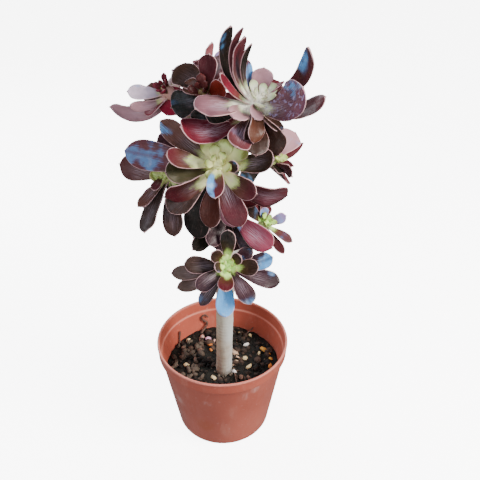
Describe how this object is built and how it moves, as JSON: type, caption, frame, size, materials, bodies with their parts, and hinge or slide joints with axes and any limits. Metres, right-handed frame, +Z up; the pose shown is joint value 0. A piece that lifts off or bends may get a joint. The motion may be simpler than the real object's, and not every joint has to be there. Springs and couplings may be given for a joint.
{
  "type": "potted aeonium",
  "caption": "Branching tree-like succulent with dark spoon-leaved rosettes on a woody stem, standing in soil in a tapered plastic nursery pot.",
  "frame": {"origin": "middle of the pot's flat underside", "axes": "+Z up along the stem, -Y towards the front of the plant, +X to the right as seen from the front"},
  "size_m": [0.1649, 0.1524, 0.381],
  "materials": {
    "pot": "terracotta-coloured moulded plastic, lightly scuffed",
    "soil": "dark moist potting mix with bark chips and pale grit",
    "stem": "pale grey-tan bark with leaf scars",
    "leaf": "glossy dark maroon leaf, lime to cream near the centre, pale margin"
  },
  "bodies": {
    "root": {"pot": "pot", "soil": "soil", "stem": "stem", "rosette_top": "leaf", "rosette_crown": "leaf", "rosette_back": "leaf", "rosette_left": "leaf", "rosette_main": "leaf", "rosette_flank": "leaf", "rosette_hidden": "leaf", "rosette_low": "leaf", "rosette_side": "leaf", "rosette_right": "leaf"}
  },
  "joints": []
}
